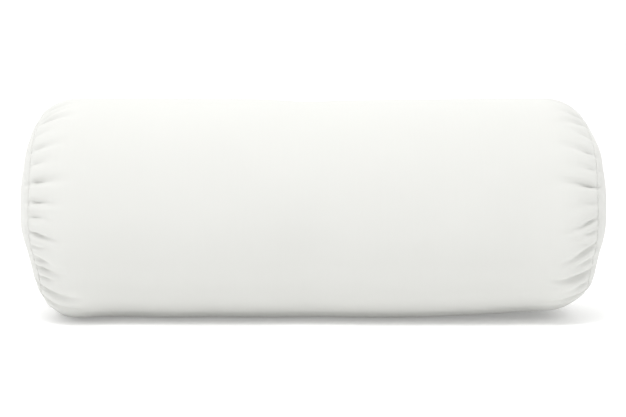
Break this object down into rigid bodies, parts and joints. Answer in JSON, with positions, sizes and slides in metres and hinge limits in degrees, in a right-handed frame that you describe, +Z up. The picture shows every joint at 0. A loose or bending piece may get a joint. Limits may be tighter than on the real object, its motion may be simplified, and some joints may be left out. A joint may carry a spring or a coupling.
{
  "type": "bolster pillow",
  "caption": "Plain white cylindrical bolster pillow: a cotton cover gathered at its round ends, with a coil zip along the back, over a stuffed inner pillow.",
  "frame": {"origin": "middle of the underside, on the surface that the pillow lies on", "axes": "+X along the pillow to its right end, +Z up, -Y the plain front, +Y the back with the zip"},
  "size_m": [0.54, 0.204, 0.2],
  "materials": {
    "cover_cotton": "matte plain-woven cotton, softly sheened",
    "sewing_thread": "matte spun thread",
    "zip_tape": "matte woven polyester",
    "zip_nylon": "semi-gloss nylon",
    "zip_metal": "satin white enamel",
    "label_ribbon": "smooth satin ribbon, blank",
    "inner_cotton": "matte unbleached cotton",
    "polyester_fibre": "fluffy matte fibre"
  },
  "bodies": {
    "pillow": {"cover_wrap_panel": "cover_cotton", "cover_end_panel_left": "cover_cotton", "cover_end_panel_right": "cover_cotton", "cover_seam_thread_left": "sewing_thread", "cover_seam_thread_right": "sewing_thread", "zip_tape_upper": "zip_tape", "zip_tape_lower": "zip_tape", "zip_coil_upper": "zip_nylon", "zip_coil_lower": "zip_nylon", "zip_topstitch_upper": "sewing_thread", "zip_topstitch_lower": "sewing_thread", "zip_bar_tack_left": "sewing_thread", "zip_bar_tack_right": "sewing_thread", "zip_top_stops": "zip_metal", "zip_bottom_stop": "zip_metal", "care_label": "label_ribbon", "inner_case_wrap_panel": "inner_cotton", "inner_case_end_panel_left": "inner_cotton", "inner_case_end_panel_right": "inner_cotton", "inner_case_seam_thread_left": "sewing_thread", "inner_case_seam_thread_right": "sewing_thread", "inner_case_closing_stitches": "sewing_thread", "fibre_fill": "polyester_fibre"},
    "slider": {"zip_slider": "zip_metal"},
    "pull": {"zip_pull": "zip_metal"}
  },
  "joints": [
    {"name": "zip_slide", "type": "slide", "parent": "pillow", "child": "slider", "axis": [-1, 0, 0], "range_m": [0, 0.4]},
    {"name": "zip_pull_swing", "type": "hinge", "parent": "slider", "child": "pull", "pos_m": [0.2, 0.0981, 0.13371], "axis": [0, 0.342, -0.9397], "range_deg": [0, 172]}
  ]
}
